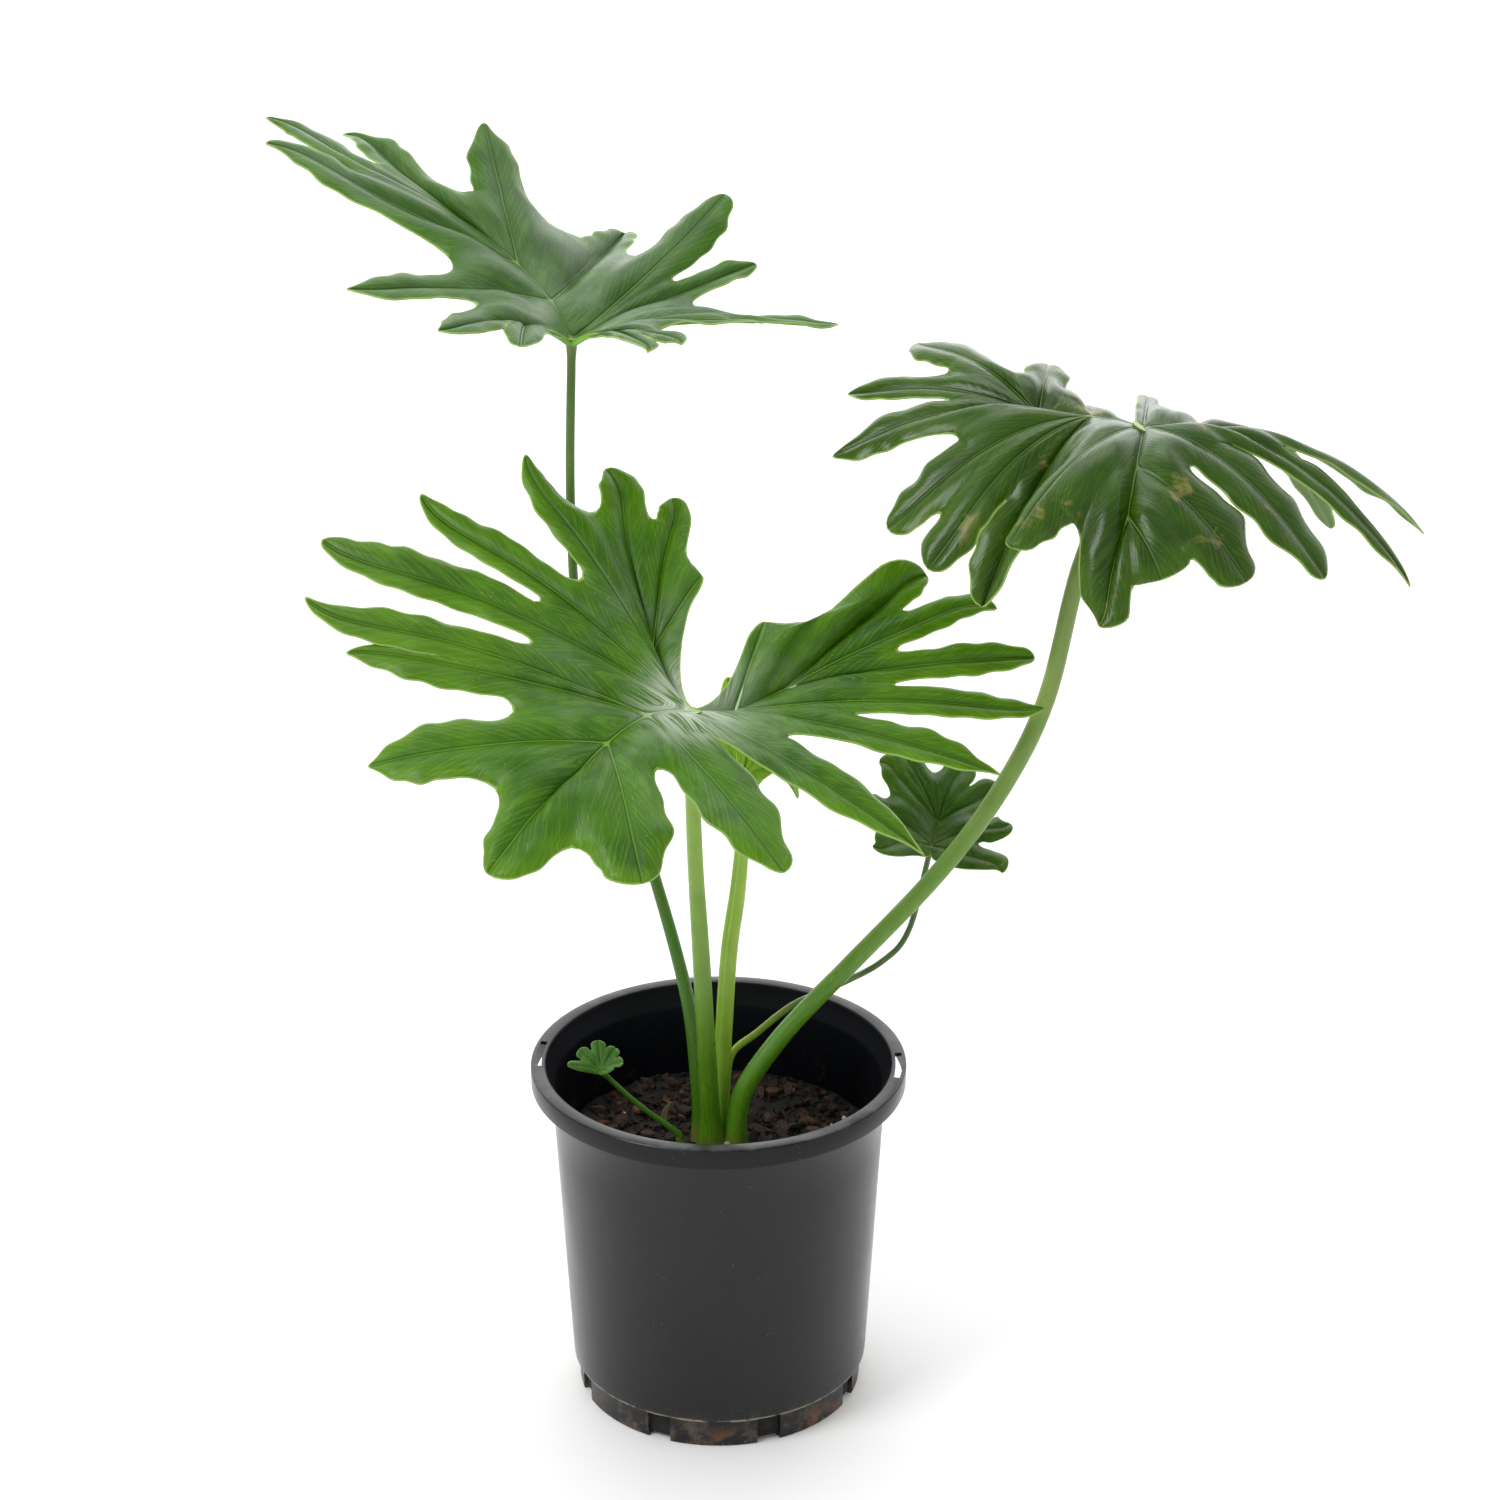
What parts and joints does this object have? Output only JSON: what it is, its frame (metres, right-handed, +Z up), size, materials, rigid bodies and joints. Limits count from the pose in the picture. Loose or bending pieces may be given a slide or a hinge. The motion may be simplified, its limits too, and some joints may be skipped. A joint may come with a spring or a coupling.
{
  "type": "potted philodendron",
  "caption": "Young lobed-leaf philodendron with arching leaf stalks, growing from bark mix in a round black nursery pot with a rolled rim and drain notches.",
  "frame": {"origin": "middle of the pot's flat underside, on the surface that the pot stands on", "axes": "+Z up along the pot's axis; -Y towards the side that shows the front leaf's face; +X towards the drooping right-hand leaf"},
  "size_m": [0.619, 0.3525, 0.6489],
  "materials": {
    "bark": "rough red-brown bark chips",
    "bark_mix": "damp dark composted bark",
    "black_plastic": "satin black moulded plastic with scuffs and pale dirt at the foot",
    "crown_tissue": "pale green-brown stem base with leaf scars",
    "dark_leaf": "glossy dark green blade with sunken veins and yellow specks",
    "dry_sheath": "dry papery sheath",
    "leaf": "waxy mid green blade with sunken veins and a pale margin",
    "leaf_stalk": "smooth green stalk with fine lengthwise streaks",
    "young_leaf": "soft yellow-green young blade",
    "young_stalk": "smooth pale yellow-green stalk"
  },
  "bodies": {
    "root": {"bark_chip_01": "bark", "bark_chip_02": "bark", "bark_chip_03": "bark", "bark_chip_04": "bark", "bark_chip_05": "bark", "bark_chip_06": "bark", "bark_chip_07": "bark", "bark_chip_08": "bark", "bark_chip_09": "bark", "bark_chip_10": "bark", "bark_chip_11": "bark", "bark_chip_12": "bark", "bark_chip_13": "bark", "bark_chip_14": "bark", "bark_chip_15": "bark", "bark_chip_16": "bark", "crown": "crown_tissue", "leaf_back": "dark_leaf", "leaf_front": "leaf", "leaf_new": "young_leaf", "leaf_right": "dark_leaf", "leaf_seedling": "leaf", "leaf_upper_left": "leaf", "old_sheath": "dry_sheath", "petiole_back": "leaf_stalk", "petiole_front": "leaf_stalk", "petiole_new": "young_stalk", "petiole_right": "leaf_stalk", "petiole_seedling": "leaf_stalk", "petiole_upper_left": "leaf_stalk", "pot": "black_plastic", "potting_mix": "bark_mix"}
  },
  "joints": []
}
